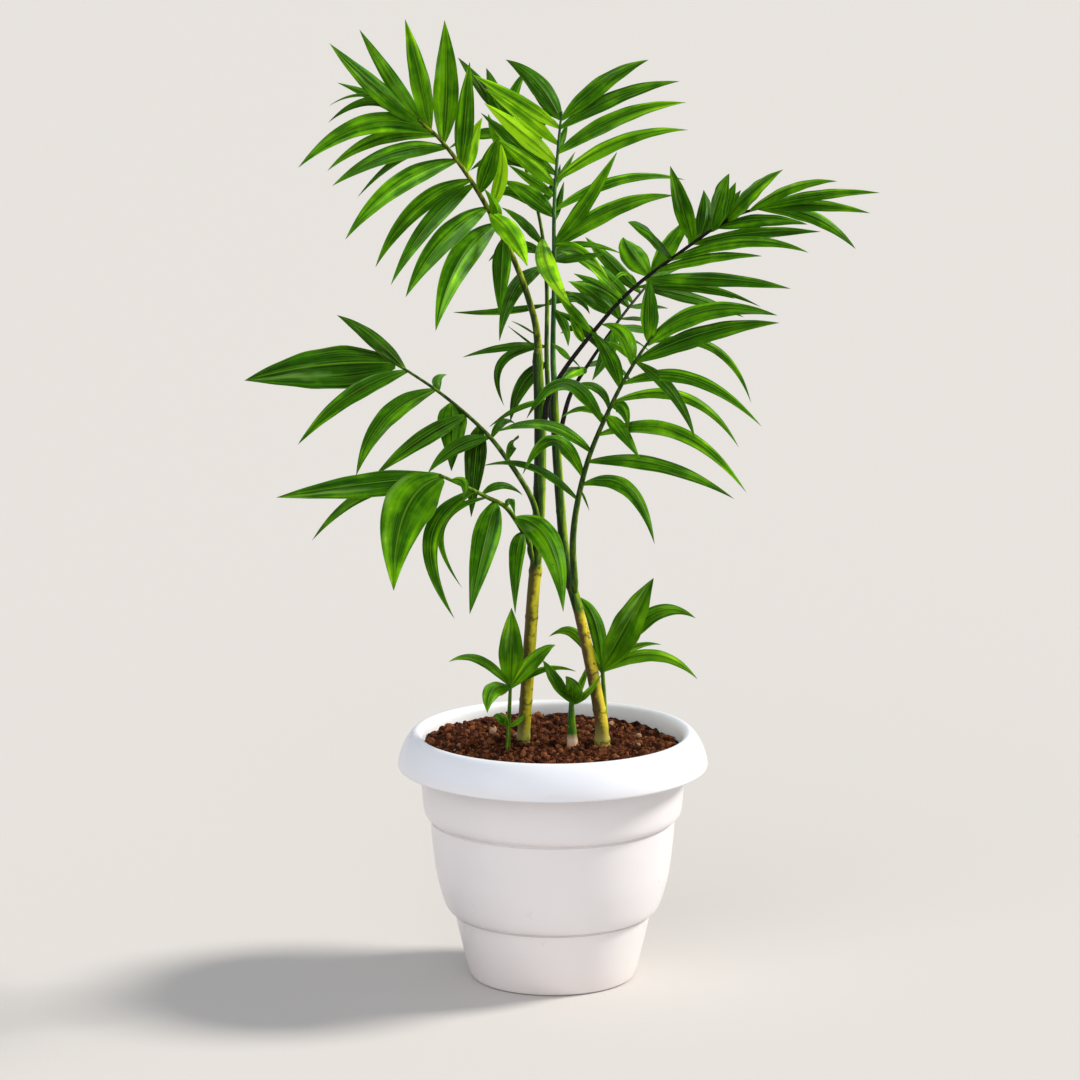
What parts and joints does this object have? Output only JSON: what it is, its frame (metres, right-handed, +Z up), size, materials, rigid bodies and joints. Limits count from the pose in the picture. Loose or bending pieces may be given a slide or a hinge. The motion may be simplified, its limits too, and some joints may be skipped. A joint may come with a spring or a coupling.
{
  "type": "potted areca palm",
  "caption": "Young areca palm with arching pinnate fronds on slim canes, growing in a round white stepped plastic pot with a rolled rim, filled with crumbly soil.",
  "frame": {"origin": "centre of the pot's flat underside, on the surface the pot stands on", "axes": "+Z up along the pot's axis, through the rim; +X to the plant's right and +Y to its back, seen from the side with the wide left frond and the long right frond"},
  "size_m": [0.499, 0.288, 0.785],
  "materials": {
    "pot": "satin",
    "soil": "matte",
    "cane": "satin",
    "leaf": "satin",
    "young_leaf": "satin"
  },
  "bodies": {
    "root": {"pot": "pot", "soil": "soil", "cane_left": "cane", "cane_right": "cane", "frond_upper_left": "leaf", "frond_top": "leaf", "frond_right": "leaf", "frond_lower_right": "leaf", "frond_inner_right": "leaf", "frond_back": "leaf", "frond_left": "leaf", "frond_lower_left": "leaf", "shoot_left": "young_leaf", "shoot_middle": "young_leaf", "shoot_right": "young_leaf", "seedling": "young_leaf"}
  },
  "joints": []
}
